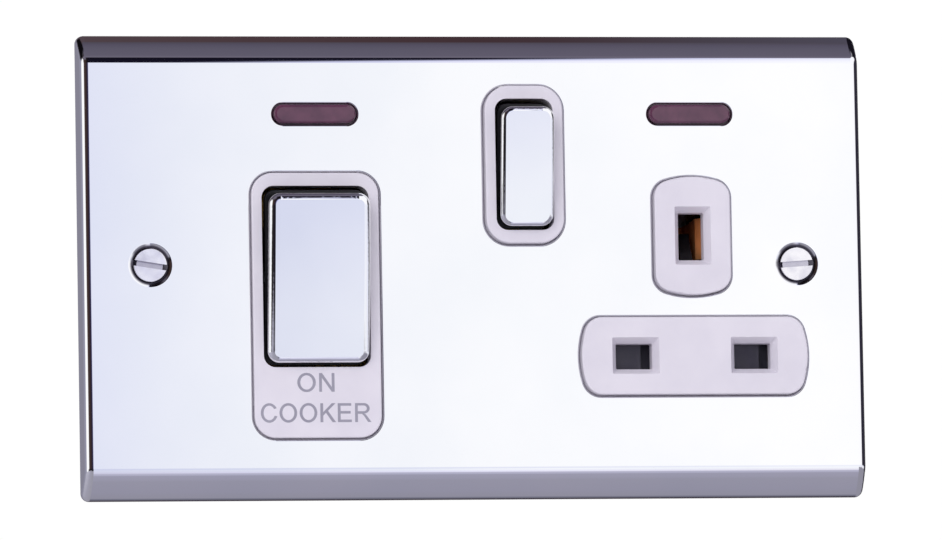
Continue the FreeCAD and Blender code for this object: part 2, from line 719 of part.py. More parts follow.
def lamp_y():
    return FLANGE_Y + NEON_LIP_T - LAMP_R - SEAT_GAP


def neon_lamp(x):
    body = along_x(LAMP_R, x - LAMP_L / 2, x + LAMP_L / 2, lamp_y(), NEON_Z)
    ends = [e for e in body.Edges if e.Closed]
    return body.makeFillet(LAMP_R / 2, ends)


def lead(points):
    """Round wire through a list of corner points that run along the axes."""
    solids = []
    for a, b in zip(points, points[1:]):
        solids.append(Part.makeCylinder(LEAD_R, (b - a).Length, a, b - a))
    for p in points[1:-1]:
        solids.append(Part.makeSphere(LEAD_R, p))
    return joined(solids) if len(solids) > 1 else solids[0]


def resistor(x, y0, z):
    body = along_y(RESISTOR_R, x, z, y0, y0 + RESISTOR_L)
    return body.cut(along_y(LEAD_R + RUN_FIT, x, z, y0, y0 + RESISTOR_L))


def cooker_leads():
    y = lamp_y()
    return [
        lead([point(COOKER_NEON_X - LAMP_L / 2, y, NEON_Z), point(NEUTRAL_BLOCK_X, y, NEON_Z),
              point(NEUTRAL_BLOCK_X, BLOCK_Y, NEON_Z)]),
        lead([point(COOKER_NEON_X + LAMP_L / 2, y, NEON_Z), point(LIVE_BLOCK_X, y, NEON_Z),
              point(LIVE_BLOCK_X, BLOCK_Y, NEON_Z)]),
    ]


def socket_leads():
    y = lamp_y()
    left = SOCKET_X - BLOCK_OFFSET
    right = SOCKET_X + BLOCK_OFFSET
    drop = BORE_Y - BORE_TO_BAR
    return [
        lead([point(SOCKET_X - LAMP_L / 2, y, NEON_Z), point(left, y, NEON_Z),
              point(left, drop, NEON_Z), point(left, drop, PIN_ROW_Z + PIN_T / 2 + CLIP_PLAY + CLIP_T)]),
        lead([point(SOCKET_X + LAMP_L / 2, y, NEON_Z), point(right, y, NEON_Z),
              point(right, BAR_Y, NEON_Z)]),
    ]


# Contact bars
def floor_bar(x0, x1, z0, z1):
    return box(x0, x1, BAR_Y, FLOOR_Y, z0, z1)


def clamp_places(x, z):
    return [(x, z - CLAMP_PITCH / 2), (x, z + CLAMP_PITCH / 2)]


def earth_clamps():
    return [(x, -BLOCK_MID_Z) for x in EARTH_BORES]


def clamp_holes(places, r):
    return Part.makeCompound([along_y(r, x, z, BORE_Y, HOUSING_BACK) for x, z in places])


def strip(x):
    return x - BAR_W / 2, x + BAR_W / 2


def neutral_supply_bar():
    x0, x1 = strip(NEUTRAL_X)
    run = floor_bar(x0, x1, -BLOCK_EDGE_Z, COOKER_Z + FIN_T)
    body = joined([run] + support_fin(NEUTRAL_X, COOKER_Z))
    return body.cut(clamp_holes(clamp_places(NEUTRAL_BLOCK_X, -BLOCK_MID_Z), CLAMP_R + LOOSE))


def live_supply_bar():
    x0, x1 = strip(LIVE_X)
    s0, s1 = strip(SOCKET_SWITCH_X)
    top = -BLOCK_EDGE_Z + BLOCK_L + LINK_W + CLAMP_R
    solids = [
        floor_bar(x0, x1, -BLOCK_EDGE_Z, COOKER_Z + FIN_T),
        floor_bar(x0, s1, top - LINK_W, top),
        floor_bar(s0, s1, top - LINK_W, SOCKET_SWITCH_Z + FIN_T),
    ]
    solids += support_fin(LIVE_X, COOKER_Z) + support_fin(SOCKET_SWITCH_X, SOCKET_SWITCH_Z)
    return joined(solids).cut(clamp_holes(clamp_places(LIVE_BLOCK_X, -BLOCK_MID_Z), CLAMP_R + LOOSE))


def load_bar(x, block_x):
    x0, x1 = strip(x)
    low = COOKER_Z + COOKER_ARM - TIP_PAD_R
    body = joined([floor_bar(x0, x1, low, BLOCK_EDGE_Z), fixed_post(x, COOKER_Z, COOKER_ARM)])
    return body.cut(clamp_holes(clamp_places(block_x, BLOCK_MID_Z), CLAMP_R + LOOSE))


def clip_outline(y0, y1, lead):
    """Section of a sprung clip as pairs across the pin and along Y: flared mouth, pinch, closed end."""
    mouth = PIN_T / 2 + CLIP_MOUTH
    pinch = PIN_T / 2 - CLIP_PINCH
    base = PIN_T / 2 + CLIP_PLAY
    throat = y0 + lead
    side = [(mouth, y0), (pinch, throat), (base, y1 - CLIP_T)]
    back = [(base + CLIP_T, y1), (pinch + CLIP_T, throat), (mouth + CLIP_T, y0)]
    inner = side + [(-s, y) for s, y in reversed(side)]
    outer = [(-s, y) for s, y in reversed(back)] + back
    return inner + outer + [(mouth, y0)]


def pin_clip(x, z):
    """Sprung clip over and under a flat pin, open to the front."""
    x0, x1 = strip(x)
    wire = Part.makePolygon([point(x0, y, z + s) for s, y in clip_outline(CLIP_Y, CLIP_END, CLIP_LEAD)])
    return Part.Face(wire).extrude(point(x1 - x0, 0, 0))


def live_pin_bar():
    x0, x1 = strip(LIVE_PIN_X)
    run1 = LIVE_PIN_X - LIVE_RUN_OFFSET + LIVE_RUN_W / 2
    run0 = run1 - LIVE_RUN_W
    s0, s1 = strip(SOCKET_SWITCH_X)
    post_z = SOCKET_SWITCH_Z + SMALL_ARM
    top = post_z + BAR_W / 2
    solids = [
        pin_clip(LIVE_PIN_X, PIN_ROW_Z),
        box(x0, x1, CLIP_END, BAR_Y, PIN_ROW_Z - BAR_T / 2, PIN_ROW_Z + BAR_T / 2),
        floor_bar(run0, x1, PIN_ROW_Z - LINK_W / 2, PIN_ROW_Z + LINK_W / 2),
        floor_bar(run0, run1, PIN_ROW_Z, top),
        floor_bar(s0, run1, post_z - TIP_PAD_R, top),
        fixed_post(SOCKET_SWITCH_X, SOCKET_SWITCH_Z, SMALL_ARM),
    ]
    return joined(solids)


def neutral_link_bar():
    x0, x1 = strip(NEUTRAL_PIN_X)
    z0 = -BLOCK_MID_Z - LINK_W / 2
    z1 = -BLOCK_MID_Z + LINK_W / 2
    leaf = PIN_ROW_Z - PIN_T / 2 - CLIP_PLAY
    lead_x = SOCKET_X - BLOCK_OFFSET
    tab_y = BORE_Y - BORE_TO_BAR
    tab_z = PIN_ROW_Z + PIN_T / 2 + CLIP_PLAY
    start = NEUTRAL_BLOCK_X - LINK_W / 2
    solids = [
        box(start, x1, LINK_Y, LINK_Y + BAR_T, z0, z1),
        box(x0, x1, LINK_Y, LINK_Y + BAR_T, z0, leaf),
        pin_clip(NEUTRAL_PIN_X, PIN_ROW_Z),
        box(x0, lead_x + LEAD_R, tab_y - BAR_T, tab_y + BAR_T, tab_z, tab_z + CLIP_T),
        box(start, start + LINK_W, LINK_Y + BAR_T, BLOCK_Y, z0, z1),
    ]
    return joined(solids)


def earth_pin_bar():
    half = BAR_W / 2 + CLIP_T
    outline = clip_outline(EARTH_CLIP_Y, EARTH_CLIP_END, EARTH_CLIP_LEAD)
    wire = Part.makePolygon([point(SOCKET_X + s, y, EARTH_Z - half) for s, y in outline])
    clip = Part.Face(wire).extrude(point(0, 0, 2 * half))
    x0 = SOCKET_X - PIN_T / 2 - CLIP_PLAY - CLIP_T
    x1 = SOCKET_X + PIN_T / 2 + CLIP_PLAY + CLIP_T
    b0, b1 = strip(EARTH_BLOCK_X)
    z0 = EARTH_Z - LINK_W / 2
    z1 = EARTH_Z + LINK_W / 2
    solids = [
        clip,
        box(x0, x1, EARTH_CLIP_END, BAR_Y, z0, z1),
        floor_bar(b0, x1, z0, z1),
        floor_bar(b0, b1, -BLOCK_EDGE_Z, z1),
    ]
    return joined(solids).cut(clamp_holes(earth_clamps(), CLAMP_R + LOOSE))


# Terminals
def terminal_block(x, z):
    w = BLOCK_W / 2
    half = BLOCK_L / 2
    block = box(x - w, x + w, BLOCK_Y, BAR_Y, z - half, z + half)
    block = block.cut(along_z(BORE_R, x, BORE_Y, z - half, z + half))
    return block.cut(clamp_holes(clamp_places(x, z), CLAMP_R + RUN_FIT))


def earth_terminal():
    w = EARTH_BLOCK_W / 2
    z0 = -BLOCK_EDGE_Z
    block = box(EARTH_BLOCK_X - w, EARTH_BLOCK_X + w, BLOCK_Y, BAR_Y, z0, z0 + BLOCK_L)
    for x in EARTH_BORES:
        block = block.cut(along_z(EARTH_BORE_R, x, BORE_Y, z0, z0 + BLOCK_L))
    return block.cut(clamp_holes(earth_clamps(), CLAMP_R + RUN_FIT))


def clamp_screw(x, z):
    tip = BORE_Y + BORE_R + SEAT_GAP
    shank = along_y(CLAMP_R, x, z, tip, FLOOR_Y)
    head = along_y(CLAMP_HEAD_R, x, z, FLOOR_Y, FLOOR_Y + CLAMP_HEAD_H)
    y1 = FLOOR_Y + CLAMP_HEAD_H
    return slotted(joined([shank, head]), x, z, y1 - CLAMP_SLOT_D, y1, CLAMP_SLOT_W, CLAMP_HEAD_R, 0)


def all_clamps():
    places = []
    for x in (NEUTRAL_BLOCK_X, LIVE_BLOCK_X):
        places += clamp_places(x, -BLOCK_MID_Z) + clamp_places(x, BLOCK_MID_Z)
    return places + earth_clamps()


# Pillars, housing screws and the earth strap to the plate
def pillar(x, z):
    return along_y(PILLAR_R, x, z, BACK_Y, PILLAR_Y).cut(along_y(M3_R + RUN_FIT, x, z, BACK_Y, PILLAR_Y))


def m3_screw(x, z, tip, seat):
    shank = along_y(M3_R, x, z, tip, seat)
    head = along_y(M3_HEAD_R, x, z, seat, seat + M3_HEAD_H)
    y1 = seat + M3_HEAD_H
    return slotted(joined([shank, head]), x, z, y1 - CLAMP_SLOT_D, y1, CLAMP_SLOT_W, M3_HEAD_R, M3_TURN)


def earth_plate_strap():
    x0 = EARTH_BLOCK_X - STRAP_W / 2
    x1 = EARTH_BLOCK_X + STRAP_W / 2
    z0 = -BLOCK_EDGE_Z
    z1 = STRAP_Z + M3_HEAD_R + LOOSE
    tab = box(x0, x1, PILLAR_Y, PILLAR_Y + STRAP_T, z0, z1)
    leg = box(x0, x1, PILLAR_Y, BLOCK_Y, z0, z0 + STRAP_T)
    return joined([tab, leg]).cut(along_y(M3_R + CLEAR_HOLE, EARTH_BLOCK_X, STRAP_Z, PILLAR_Y, BLOCK_Y))


# Rear housing
def rear_housing():
    mid = (HOUSING_X0 + HOUSING_X1) / 2
    w = HOUSING_X1 - HOUSING_X0
    wall = 2 * HOUSING_WALL
    outer = prism(rounded(w, HOUSING_H, HOUSING_R, mid, FLANGE_Y, 0), HOUSING_BACK)
    outer = outer.cut(along_y(LUG_NOTCH_R, FIX_X, 0, FLANGE_Y, HOUSING_BACK))
    outer = soften(outer, HOUSING_BACK, HOUSING_WALL / 2)
    cavity = prism(rounded(w - wall, HOUSING_H - wall, HOUSING_R - HOUSING_WALL, mid, FLANGE_Y, 0), FLOOR_Y)
    cavity = cavity.cut(along_y(LUG_NOTCH_R + HOUSING_WALL, FIX_X, 0, FLANGE_Y, FLOOR_Y))
    tray = outer.cut(cavity)
    posts = [along_y(POST_R, x, z, PILLAR_Y, FLOOR_Y) for x, z in POSTS]
    tray = joined([tray] + posts)
    seat = housing_screw_seat()
    cuts = []
    for x, z in POSTS:
        cuts.append(along_y(M3_R + CLEAR_HOLE, x, z, PILLAR_Y, HOUSING_BACK))
        cuts.append(along_y(M3_HEAD_R + LOOSE, x, z, seat, HOUSING_BACK))
    for x, z in all_clamps():
        cuts.append(along_y(CLAMP_HEAD_R + LOOSE, x, z, FLOOR_Y, HOUSING_BACK))
    for x in (NEUTRAL_BLOCK_X, LIVE_BLOCK_X):
        cuts.append(along_z(BORE_R + CABLE_PLAY, x, BORE_Y, -HOUSING_Z, -INNER_Z))
        cuts.append(along_z(BORE_R + CABLE_PLAY, x, BORE_Y, INNER_Z, HOUSING_Z))
    for x in EARTH_BORES:
        cuts.append(along_z(EARTH_BORE_R + CABLE_PLAY, x, BORE_Y, -HOUSING_Z, -INNER_Z))
    return tray.cut(Part.makeCompound(cuts))


def housing_screw_seat():
    return HOUSING_BACK - M3_SINK - M3_HEAD_H


# Assembly
cooker_cap, cooker_carrier = rocker_body(
    COOKER_X, COOKER_Z, COOKER_EDGE_R, COOKER_HOLE_W, COOKER_HOLE_H, (-POLE_OFFSET, POLE_OFFSET))
socket_cap, socket_carrier = rocker_body(
    SOCKET_SWITCH_X, SOCKET_SWITCH_Z, SMALL_EDGE_R, SMALL_HOLE_W, SMALL_HOLE_H, (0,))
screw_tip = BACK_Y + RUN_FIT
lead_start = lamp_y() + LAMP_R + CLAMP_R

nodes = {
    "front_plate": front_plate(),
    "fixing_screws": Part.makeCompound([
        fixing_screw(-FIX_X, SLOT_TURN_LEFT), fixing_screw(FIX_X, SLOT_TURN_RIGHT)]),
    "cooker_front": cooker_front(),
    "cooker_rocker_cap": at_rest(cooker_cap, COOKER_Z),
    "cooker_rocker_carrier": at_rest(cooker_carrier, COOKER_Z),
    "cooker_plunger_neutral": at_rest(plunger(NEUTRAL_X, COOKER_Z), COOKER_Z),
    "cooker_plunger_live": at_rest(plunger(LIVE_X, COOKER_Z), COOKER_Z),
    "cooker_spring_neutral": at_rest(plunger_spring(NEUTRAL_X, COOKER_Z), COOKER_Z),
    "cooker_spring_live": at_rest(plunger_spring(LIVE_X, COOKER_Z), COOKER_Z),
    "cooker_contact_neutral": moving_contact(NEUTRAL_X, COOKER_Z, COOKER_ARM),
    "cooker_contact_live": moving_contact(LIVE_X, COOKER_Z, COOKER_ARM),
    "socket_front": socket_front(),
    "socket_rocker_cap": at_rest(socket_cap, SOCKET_SWITCH_Z),
    "socket_rocker_carrier": at_rest(socket_carrier, SOCKET_SWITCH_Z),
    "socket_plunger": at_rest(plunger(SOCKET_SWITCH_X, SOCKET_SWITCH_Z), SOCKET_SWITCH_Z),
    "socket_spring": at_rest(plunger_spring(SOCKET_SWITCH_X, SOCKET_SWITCH_Z), SOCKET_SWITCH_Z),
    "socket_contact": moving_contact(SOCKET_SWITCH_X, SOCKET_SWITCH_Z, SMALL_ARM),
    "shutter": shutter(),
    "shutter_spring": shutter_spring(),
    "cooker_neon_lens": neon_lens(COOKER_NEON_X),
    "cooker_neon_lamp": neon_lamp(COOKER_NEON_X),
    "cooker_neon_leads": Part.makeCompound(cooker_leads()),
    "cooker_neon_resistor": resistor(LIVE_BLOCK_X, lead_start, NEON_Z),
    "socket_neon_lens": neon_lens(SOCKET_X),
    "socket_neon_lamp": neon_lamp(SOCKET_X),
    "socket_neon_leads": Part.makeCompound(socket_leads()),
    "socket_neon_resistor": resistor(SOCKET_X + BLOCK_OFFSET, lead_start, NEON_Z),
    "neutral_supply_bar": neutral_supply_bar(),
    "live_supply_bar": live_supply_bar(),
    "neutral_load_bar": load_bar(NEUTRAL_X, NEUTRAL_BLOCK_X),
    "live_load_bar": load_bar(LIVE_X, LIVE_BLOCK_X),
    "live_pin_bar": live_pin_bar(),
    "neutral_link_bar": neutral_link_bar(),
    "earth_pin_bar": earth_pin_bar(),
    "neutral_supply_terminal": terminal_block(NEUTRAL_BLOCK_X, -BLOCK_MID_Z),
    "live_supply_terminal": terminal_block(LIVE_BLOCK_X, -BLOCK_MID_Z),
    "neutral_load_terminal": terminal_block(NEUTRAL_BLOCK_X, BLOCK_MID_Z),
    "live_load_terminal": terminal_block(LIVE_BLOCK_X, BLOCK_MID_Z),
    "earth_terminal": earth_terminal(),
    "terminal_screws": Part.makeCompound([clamp_screw(x, z) for x, z in all_clamps()]),
    "plate_pillars": Part.makeCompound([pillar(x, z) for x, z in POSTS + [(EARTH_BLOCK_X, STRAP_Z)]]),
    "housing_screws": Part.makeCompound([m3_screw(x, z, screw_tip, housing_screw_seat()) for x, z in POSTS]),
    "earth_plate_strap": earth_plate_strap(),
    "earth_strap_screw": m3_screw(EARTH_BLOCK_X, STRAP_Z, screw_tip, PILLAR_Y + STRAP_T),
    "rear_housing": rear_housing(),
}

os.makedirs("parts", exist_ok=True)
for name, shape in nodes.items():
    shape.exportStep("parts/" + name + ".step")
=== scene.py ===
import bmesh, bpy, json, math
from mathutils import Matrix, Vector


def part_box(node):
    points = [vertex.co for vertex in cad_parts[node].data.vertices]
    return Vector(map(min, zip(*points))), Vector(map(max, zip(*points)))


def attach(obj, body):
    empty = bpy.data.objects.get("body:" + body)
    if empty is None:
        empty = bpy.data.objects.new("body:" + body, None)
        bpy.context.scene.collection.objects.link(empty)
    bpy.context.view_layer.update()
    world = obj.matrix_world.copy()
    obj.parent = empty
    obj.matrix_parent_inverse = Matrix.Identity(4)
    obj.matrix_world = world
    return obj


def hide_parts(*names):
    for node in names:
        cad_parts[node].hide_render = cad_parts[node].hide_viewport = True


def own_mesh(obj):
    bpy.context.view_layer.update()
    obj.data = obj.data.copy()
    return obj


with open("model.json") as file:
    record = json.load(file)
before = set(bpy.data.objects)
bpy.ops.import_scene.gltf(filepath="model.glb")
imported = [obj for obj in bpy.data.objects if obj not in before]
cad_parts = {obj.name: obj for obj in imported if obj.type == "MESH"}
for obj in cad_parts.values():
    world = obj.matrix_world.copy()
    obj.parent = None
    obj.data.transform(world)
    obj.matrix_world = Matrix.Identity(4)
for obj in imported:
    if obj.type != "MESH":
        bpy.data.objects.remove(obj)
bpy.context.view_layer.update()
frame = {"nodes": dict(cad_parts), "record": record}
nodes = frame["nodes"]

MM = 0.001
SCREW_X = 60.3 * MM         # fixing screws, left and right of the middle
PAINTED_SHADE_OUTER = 3.85 * MM      # painted shade: a dark, dull ring at the foot of a screw dimple
PAINTED_SHADE_INNER = 3.5 * MM
SLOT_TOP_Y = -6.42 * MM     # screw slot, from the head inwards, over which painted shade grows
SLOT_FOOT_Y = -6.1 * MM
RAMP_SHADE_FROM_Z = -9 * MM           # shutter, from its blade up to its ramp, which painted shade turns nearly black
RAMP_SHADE_FULL_Z = -6 * MM
MERGE_GAP = 0.001 * MM      # points nearer than this are one
INK_T = 0.02 * MM
ARC_STEPS = 24
FLOOR_SIZE = 14             # metres
FLOOR_Z = -0.9
PHOTO_W, PHOTO_H = 942, 540
SENSOR_W = 36               # millimetres
FACE_Y = -6.5 * MM          # front of the plate, which the camera was fitted to

DRIFT_LOW, DRIFT_HIGH = 0.35, 0.65  # the part of its range that a noise fills
PATCH_PEBBLES = 16                  # a patch of colour spans so many pebbles of a mould
STRIP_PATCH_MM = 6.0                # patches of colour on rolled and drawn metal
SCREW_RING_MM = 1.885               # from ring to ring on a screw's head
LENS_RIB_MM = 6.91                  # from rib to rib in a lens
MIX_A, MIX_B, MIX_OUT = 6, 7, 2     # colour sockets of a Mix node


def linear(code):
    """An sRGB hex colour as linear RGBA."""
    parts = [int(code[i:i + 2], 16) / 255 for i in (1, 3, 5)]
    return (*[c / 12.92 if c <= 0.04045 else ((c + 0.055) / 1.055) ** 2.4 for c in parts], 1.0)


def feed(node, inputs):
    """Sets each input to a value, or links it to the socket that feeds it."""
    for name, value in inputs.items():
        if isinstance(value, bpy.types.NodeSocket):
            node.id_data.links.new(value, node.inputs[name])
        else:
            node.inputs[name].default_value = value


def add(tree, kind, inputs=None, stops=(), **settings):
    """Adds a node with its properties, a ramp's stops and its inputs."""
    node = tree.nodes.new(kind)
    for name, value in settings.items():
        setattr(node, name, value)
    for k, (place, code) in enumerate(stops):
        marks = node.color_ramp.elements
        mark = marks[k] if k < 2 else marks.new(place)
        mark.position = place
        mark.color = linear(code)
    feed(node, inputs or {})
    return node


def per_metre(size_mm):
    """Noise scale that gives one feature in that many millimetres."""
    return 1 / (size_mm * MM)


def bands(pitch_mm):
    """Wave scale that sets bands that far apart; at scale 1 a wave turns 20 radians a metre."""
    return per_metre(pitch_mm) * 2 * math.pi / 20


# Kinds of finish; each gives the material, its tree, its shader and the place on the piece
def finish(name, colours, rough, patch_mm, **sockets):
    """A material whose colour and gloss drift between two values over patches of a real size."""
    mat = bpy.data.materials.new(name)
    mat.use_nodes = True
    tree = mat.node_tree
    tree.nodes.clear()
    place = add(tree, "ShaderNodeTexCoord").outputs["Object"]
    drift = add(tree, "ShaderNodeTexNoise", {
        "Vector": place, "Scale": per_metre(patch_mm), "Detail": 3.0}).outputs["Fac"]
    tone = add(tree, "ShaderNodeValToRGB", {"Fac": drift}, [
        (DRIFT_LOW, colours[0]), (DRIFT_HIGH, colours[1])])
    gloss = add(tree, "ShaderNodeMapRange", {
        "Value": drift, "From Min": DRIFT_LOW, "From Max": DRIFT_HIGH,
        "To Min": rough[0], "To Max": rough[1]})
    shader = add(tree, "ShaderNodeBsdfPrincipled", {
        "Base Color": tone.outputs["Color"], "Roughness": gloss.outputs["Result"]})
    feed(shader, {key.replace("_", " "): value for key, value in sockets.items()})
    add(tree, "ShaderNodeOutputMaterial", {"Surface": shader.outputs[0]})
    return mat, tree, shader, place


def plated(name, colours, rough, patch_mm, wave_mm, depth_mm):
    """Bright chromium: a mirror that keeps the faint slow waves of what it covers."""
    mat, tree, shader, place = finish(name, colours, rough, patch_mm, Metallic=1.0)
    waves = add(tree, "ShaderNodeTexNoise", {
        "Vector": place, "Scale": per_metre(wave_mm), "Detail": 1.0})
    bump = add(tree, "ShaderNodeBump", {
        "Height": waves.outputs["Fac"], "Strength": 1.0, "Distance": depth_mm * MM})
    feed(shader, {"Normal": bump.outputs["Normal"]})
    return mat, tree, shader, place


def moulded(name, colours, rough, pebble_mm, depth_mm, **sockets):
    """Moulded or dipped: a fine pebble over a slow drift of colour and gloss."""
    mat, tree, shader, place = finish(name, colours, rough, PATCH_PEBBLES * pebble_mm, **sockets)
    pebble = add(tree, "ShaderNodeTexNoise", {
        "Vector": place, "Scale": per_metre(pebble_mm), "Detail": 2.0})
    bump = add(tree, "ShaderNodeBump", {
        "Height": pebble.outputs["Fac"], "Strength": 1.0, "Distance": depth_mm * MM})
    feed(shader, {"Normal": bump.outputs["Normal"]})
    return mat, tree, shader, place


def drawn(name, colours, rough, line_mm, depth_mm, stretch, metallic=1.0):
    """Rolled or drawn metal: fine lines along the way that it went through the rolls or the die."""
    mat, tree, shader, place = finish(name, colours, rough, STRIP_PATCH_MM, Metallic=metallic)
    run = add(tree, "ShaderNodeMapping", {"Vector": place, "Scale": stretch})
    lines = add(tree, "ShaderNodeTexNoise", {
        "Vector": run.outputs[0], "Scale": per_metre(line_mm), "Detail": 2.0})
    bump = add(tree, "ShaderNodeBump", {
        "Height": lines.outputs["Fac"], "Strength": 1.0, "Distance": depth_mm * MM})
    feed(shader, {"Normal": bump.outputs["Normal"]})
    return mat, tree, shader, place


def zone(tree, shader, share, code, rough):
    """Gives part of a finish its own colour and gloss; share says how much at each place."""
    base = shader.inputs["Base Color"].links[0].from_socket
    gloss = shader.inputs["Roughness"].links[0].from_socket
    tone = add(tree, "ShaderNodeMix", {
        "Factor": share, MIX_A: base, MIX_B: linear(code)}, data_type="RGBA")
    dull = add(tree, "ShaderNodeMix", {"Factor": share, "A": gloss, "B": rough})
    feed(shader, {"Base Color": tone.outputs[MIX_OUT], "Roughness": dull.outputs["Result"]})


def from_screw(tree, place):
    """A place's own parts, and where it lies sideways and upwards from the nearer fixing screw."""
    at = add(tree, "ShaderNodeSeparateXYZ", {"Vector": place})
    side = add(tree, "ShaderNodeMath", {0: at.outputs["X"]}, operation="ABSOLUTE")
    off = add(tree, "ShaderNodeMath", {0: side.outputs[0], 1: SCREW_X}, operation="SUBTRACT")
    disc = add(tree, "ShaderNodeCombineXYZ", {"X": off.outputs[0], "Y": at.outputs["Z"]})
    return at, disc.outputs[0]


# Bright chromium plate over a polished pressing: a mirror that keeps the slow ripple of the sheet.
# Painted shade: a thin dark, dull ring at the foot of each screw dimple, in the gap around the
# head.
chrome, chrome_tree, chrome_shader, chrome_place = plated(
    "bright_chromium_plate", ("#F3F3F5", "#EFF0F3"), rough=(0.02, 0.035), patch_mm=24.0,
    wave_mm=11.0, depth_mm=0.0006)
plate_disc = from_screw(chrome_tree, chrome_place)[1]
reach = add(chrome_tree, "ShaderNodeVectorMath", {0: plate_disc}, operation="LENGTH")
painted_shade_ring = add(chrome_tree, "ShaderNodeMapRange", {
    "Value": reach.outputs["Value"], "From Min": PAINTED_SHADE_OUTER, "From Max": PAINTED_SHADE_INNER})
zone(chrome_tree, chrome_shader, painted_shade_ring.outputs["Result"], code="#5C5964", rough=0.22)

# Chromed plastic of the rocker caps: as bright as the plate, but its wavy skin softens reflections.
cap_chrome = plated(
    "chromed_plastic", ("#F3F3F5", "#EFF0F3"), rough=(0.05, 0.07), patch_mm=18.0,
    wave_mm=7.0, depth_mm=0.0008)[0]

# Chromed screws: the head keeps the rings of the lathe, and painted shade makes the slot greyer and
# duller inwards.
# The real rings are much finer, and are drawn so far apart that they show.
screw_chrome, screw_tree, screw_shader, screw_place = finish(
    "chromed_turned_steel", ("#F0EEF2", "#E4E2E9"), rough=(0.10, 0.18), patch_mm=2.5, Metallic=1.0)
screw_at, screw_disc = from_screw(screw_tree, screw_place)
screw_rings = add(screw_tree, "ShaderNodeTexWave", {
    "Vector": screw_disc, "Scale": bands(SCREW_RING_MM), "Distortion": 0.4, "Detail": 1.0},
    wave_type="RINGS", rings_direction="SPHERICAL")
rings_bump = add(screw_tree, "ShaderNodeBump", {
    "Height": screw_rings.outputs["Fac"], "Strength": 1.0, "Distance": 0.002 * MM})
feed(screw_shader, {"Normal": rings_bump.outputs["Normal"]})
# Painted shade in the slot: greyer and duller the deeper it lies.
slot_painted_shade = add(screw_tree, "ShaderNodeMapRange", {
    "Value": screw_at.outputs["Y"], "From Min": SLOT_TOP_Y, "From Max": SLOT_FOOT_Y})
zone(screw_tree, screw_shader, slot_painted_shade.outputs["Result"], code="#D2CFD9", rough=0.25)

# Moulded urea: satin white, hard, with a very fine pebble from the mould.
white_urea = moulded(
    "moulded_white_urea", ("#E9E5EE", "#E4E0EA"), rough=(0.30, 0.42),
    pebble_mm=0.5, depth_mm=0.004)[0]
# The housing is the same urea from a spark-eroded mould, so it is matt and grainy.
housing_urea = moulded(
    "spark_eroded_white_urea", ("#DEDCDF", "#D9D7DB"), rough=(0.5, 0.65),
    pebble_mm=0.45, depth_mm=0.03)[0]
# Glass-filled polyester of the rocker carriers: black with a dull skin.
black_polyester = moulded(
    "moulded_black_polyester", ("#0E0E11", "#16161A"), rough=(0.35, 0.5),
    pebble_mm=0.6, depth_mm=0.006)[0]
# Unfilled nylon of the plungers: off white and waxy.
natural_nylon = moulded(
    "natural_nylon", ("#E3DDC8", "#D8D0B6"), rough=(0.35, 0.5), pebble_mm=0.6, depth_mm=0.004,
    Subsurface_Weight=0.1)[0]
# Glass-filled nylon of the shutter: dark grey, with a grainy skin from the filling.
# Painted shade makes its ramp behind the earth hole nearly black.
dark_nylon, nylon_tree, nylon_shader, nylon_place = moulded(
    "dark_glass_filled_nylon", ("#3F3D47", "#353340"), rough=(0.4, 0.55),
    pebble_mm=0.35, depth_mm=0.012)
nylon_at = add(nylon_tree, "ShaderNodeSeparateXYZ", {"Vector": nylon_place})
ramp_painted_shade = add(nylon_tree, "ShaderNodeMapRange", {
    "Value": nylon_at.outputs["Z"], "From Min": RAMP_SHADE_FROM_Z, "From Max": RAMP_SHADE_FULL_Z})
zone(nylon_tree, nylon_shader, ramp_painted_shade.outputs["Result"], code="#121115", rough=0.35)
# Resistor lacquer: a thick dip coat with a soft gloss.
lacquer = moulded(
    "resistor_lacquer", ("#C7A983", "#B6966E"), rough=(0.3, 0.45), pebble_mm=0.6, depth_mm=0.006)[0]
# Pad-printed ink: thin, matt, slightly uneven.
ink = moulded(
    "pad_printed_ink", ("#A3A1AF", "#9B99A8"), rough=(0.5, 0.62), pebble_mm=0.3, depth_mm=0.002)[0]
# Zinc plated steel: pale, slightly yellow and cloudy.
zinc = moulded(
    "zinc_plated_steel", ("#CFC9B4", "#B5AE98"), rough=(0.28, 0.42), pebble_mm=0.4, depth_mm=0.004,
    Metallic=1.0)[0]
# Drawn glass tube of the lamp: clear with a warm cast.
lamp_glass = moulded(
    "drawn_lamp_glass", ("#E9D9CF", "#DFC9BC"), rough=(0.03, 0.08), pebble_mm=1.5, depth_mm=0.002,
    Transmission_Weight=0.8)[0]

# Polycarbonate lens tinted dark red: smooth outside, with faint upright ribs that show as bands.
lens, lens_tree, lens_shader, lens_place = finish(
    "tinted_polycarbonate", ("#60374F", "#523046"), rough=(0.10, 0.18),
    patch_mm=3.0, Coat_Weight=0.2)
lens_ribs = add(lens_tree, "ShaderNodeTexWave", {
    "Vector": lens_place, "Scale": bands(LENS_RIB_MM), "Distortion": 0.6}, bands_direction="X")
ribs_bump = add(lens_tree, "ShaderNodeBump", {
    "Height": lens_ribs.outputs["Fac"], "Strength": 1.0, "Distance": 0.004 * MM})
feed(lens_shader, {"Normal": ribs_bump.outputs["Normal"]})

# Spring wire, drawn: grey, with faint lines along the wire.
spring_wire = drawn(
    "drawn_spring_wire", ("#A9A9AE", "#8E8E94"), rough=(0.22, 0.35), line_mm=0.25, depth_mm=0.003,
    stretch=(1, 0.3, 1))[0]
# Tinned copper wire: soft white metal, a little dull.
tinned_wire = drawn(
    "tinned_copper_wire", ("#C9C9C6", "#B4B4B0"), rough=(0.25, 0.4), line_mm=0.3, depth_mm=0.003,
    stretch=(1, 0.2, 1))[0]
